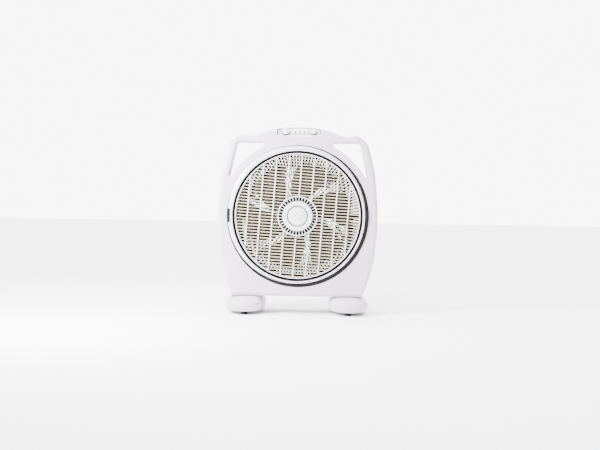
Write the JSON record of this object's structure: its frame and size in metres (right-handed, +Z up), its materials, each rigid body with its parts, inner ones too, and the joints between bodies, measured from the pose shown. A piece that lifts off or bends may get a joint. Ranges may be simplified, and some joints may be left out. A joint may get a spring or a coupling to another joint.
{
  "type": "box fan",
  "caption": "Louvered box fan: round rotating grille in an arched white cabinet with two carrying handles, top control panel and flared feet on rubber pads.",
  "frame": {"origin": "on the floor below the middle of the cabinet, at the bottom centre of the bounding box", "axes": "+Z up, the longest extent; -Y is the front, where the air leaves; +Y is the shortest extent; +X to the right seen from the front"},
  "size_m": [0.4504, 0.1882, 0.527],
  "materials": {
    "cabinet_plastic": "moulded satin-gloss, cool white",
    "louver_plastic": "moulded satin, warm white",
    "black_plastic": "fine matt",
    "blade_plastic": "moulded satin, smoky brown-grey",
    "rubber": "matt",
    "steel": "zinc plated",
    "motor_casing": "cast",
    "copper": "enamelled wire"
  },
  "bodies": {
    "cabinet": {"capacitor": "black_plastic", "control_panel": "cabinet_plastic", "cord_gland": "black_plastic", "foot_screw_front_left": "steel", "foot_screw_front_right": "steel", "foot_screw_rear_left": "steel", "foot_screw_rear_right": "steel", "front_bearing": "steel", "front_housing": "cabinet_plastic", "grille_ring": "cabinet_plastic", "guard_screw_1": "steel", "guard_screw_2": "steel", "guard_screw_3": "steel", "guard_screw_4": "steel", "handle_cover_left": "cabinet_plastic", "handle_cover_right": "cabinet_plastic", "housing_screw_lower_left": "steel", "housing_screw_lower_right": "steel", "housing_screw_upper_left": "steel", "housing_screw_upper_right": "steel", "inner_guard": "black_plastic", "left_foot": "cabinet_plastic", "louver_motor": "motor_casing", "louver_switch_body": "black_plastic", "motor_front_cover": "motor_casing", "motor_rear_cover": "motor_casing", "motor_screw_1": "steel", "motor_screw_2": "steel", "motor_screw_3": "steel", "pad_front_left": "rubber", "pad_front_right": "rubber", "pad_rear_left": "rubber", "pad_rear_right": "rubber", "rear_bearing": "steel", "rear_guard": "black_plastic", "rear_housing": "cabinet_plastic", "right_foot": "cabinet_plastic", "ring_clip_left": "black_plastic", "ring_clip_right": "black_plastic", "speed_switch_body": "black_plastic", "stator_core": "steel", "timer_body": "black_plastic", "winding_front": "copper", "winding_rear": "copper"},
    "impeller": {"rotor_core": "steel", "motor_shaft": "steel", "fan_blade": "blade_plastic", "blade_nut": "black_plastic"},
    "louver": {"louver_disc": "louver_plastic", "hub_ring": "cabinet_plastic", "hub_cap": "cabinet_plastic", "louver_shaft": "steel"},
    "timer_control": {"timer_knob": "cabinet_plastic"},
    "louver_control": {"louver_knob": "cabinet_plastic"},
    "off_key": {"key_off": "cabinet_plastic"},
    "low_key": {"key_low": "cabinet_plastic"},
    "medium_key": {"key_medium": "cabinet_plastic"},
    "high_key": {"key_high": "cabinet_plastic"}
  },
  "joints": [
    {"name": "impeller_spin", "type": "hinge", "parent": "cabinet", "child": "impeller", "pos_m": [0, 0, 0.277], "axis": [0, 1, 0], "continuous": true},
    {"name": "louver_spin", "type": "hinge", "parent": "cabinet", "child": "louver", "pos_m": [0, 0, 0.277], "axis": [0, 1, 0], "continuous": true},
    {"name": "timer_turn", "type": "hinge", "parent": "cabinet", "child": "timer_control", "pos_m": [-0.036, -0.04786, 0.51114], "axis": [0, 0.7071, -0.7071], "range_deg": [0, 270]},
    {"name": "louver_switch_turn", "type": "hinge", "parent": "cabinet", "child": "louver_control", "pos_m": [0.042, -0.04786, 0.51114], "axis": [0, 0.7071, -0.7071], "range_deg": [0, 60]},
    {"name": "key_off_press", "type": "slide", "parent": "cabinet", "child": "off_key", "axis": [0, 0.7071, -0.7071], "range_m": [0, 0.003], "stiffness_N_per_m": 250},
    {"name": "key_low_press", "type": "slide", "parent": "cabinet", "child": "low_key", "axis": [0, 0.7071, -0.7071], "range_m": [0, 0.003], "stiffness_N_per_m": 250},
    {"name": "key_medium_press", "type": "slide", "parent": "cabinet", "child": "medium_key", "axis": [0, 0.7071, -0.7071], "range_m": [0, 0.003], "stiffness_N_per_m": 250},
    {"name": "key_high_press", "type": "slide", "parent": "cabinet", "child": "high_key", "axis": [0, 0.7071, -0.7071], "range_m": [0, 0.003], "stiffness_N_per_m": 250}
  ]
}
